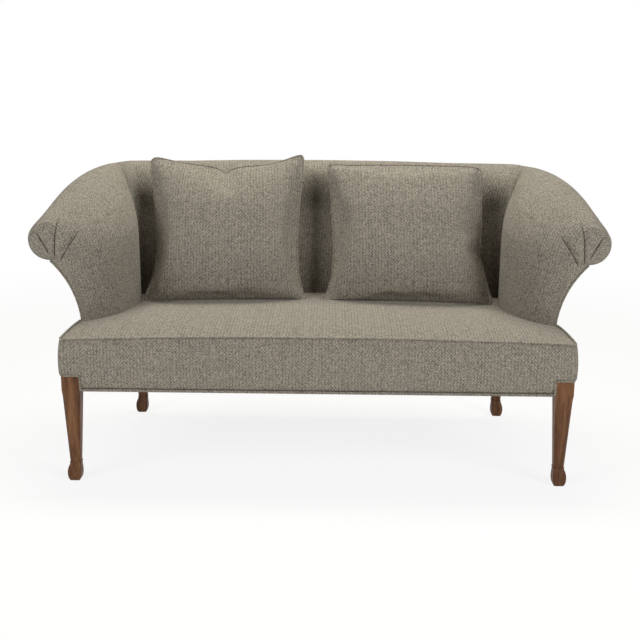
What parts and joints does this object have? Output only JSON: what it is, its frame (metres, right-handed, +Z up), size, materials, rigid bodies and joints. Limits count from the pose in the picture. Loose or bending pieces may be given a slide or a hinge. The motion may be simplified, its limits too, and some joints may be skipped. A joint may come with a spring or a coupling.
{
  "type": "rolled arm sofa",
  "caption": "Small upholstered sofa with flared rolled arms, a tight seat and back, tapered wooden legs and loose throw cushions.",
  "frame": {"origin": "on the floor under the middle of the sofa's overall box", "axes": "+X along the width, to the right of someone facing the sofa; +Y towards the back; +Z up"},
  "size_m": [1.5926, 0.733, 0.8436],
  "materials": {
    "leg_wood": "satin",
    "frame_wood": "matte",
    "tweed": "matte",
    "hessian": "matte",
    "lining": "matte",
    "stuffing": "matte",
    "spring_steel": "satin"
  },
  "bodies": {
    "sofa": {"left_front_leg": "leg_wood", "right_front_leg": "leg_wood", "left_rear_leg": "leg_wood", "right_rear_leg": "leg_wood", "front_rail": "frame_wood", "rear_rail": "frame_wood", "left_side_rail": "frame_wood", "right_side_rail": "frame_wood", "seat_braces": "frame_wood", "corner_blocks": "frame_wood", "dowels": "frame_wood", "left_arm_post": "frame_wood", "left_arm_top_rail": "frame_wood", "left_arm_lower_rail": "frame_wood", "left_back_post": "frame_wood", "right_arm_post": "frame_wood", "right_arm_top_rail": "frame_wood", "right_arm_lower_rail": "frame_wood", "right_back_post": "frame_wood", "back_top_rail": "frame_wood", "back_lower_rail": "frame_wood", "back_centre_post": "frame_wood", "corner_block_screws": "spring_steel", "seat_springs": "spring_steel", "spring_clips": "spring_steel", "seat_hessian": "hessian", "back_webbing": "hessian", "seat_pad": "stuffing", "back_pad": "stuffing", "left_arm_pad": "stuffing", "right_arm_pad": "stuffing", "seat_cover": "tweed", "front_border": "tweed", "seat_welt": "tweed", "base_welt": "tweed", "back_cover": "tweed", "outside_back": "tweed", "left_arm_cover": "tweed", "left_arm_welt": "tweed", "right_arm_cover": "tweed", "right_arm_welt": "tweed", "outside_left_arm": "tweed", "outside_right_arm": "tweed", "dust_cover": "lining"},
    "left_cushion": {"left_cushion_cover": "tweed", "left_cushion_welt": "tweed", "left_cushion_fill": "stuffing"},
    "right_cushion": {"right_cushion_cover": "tweed", "right_cushion_welt": "tweed", "right_cushion_fill": "stuffing"}
  },
  "joints": [
    {"name": "left_cushion_lift", "type": "slide", "parent": "sofa", "child": "left_cushion", "axis": [0, -0.5, 0.866], "range_m": [0, 0.6]},
    {"name": "right_cushion_lift", "type": "slide", "parent": "sofa", "child": "right_cushion", "axis": [0, -0.5, 0.866], "range_m": [0, 0.6]}
  ]
}
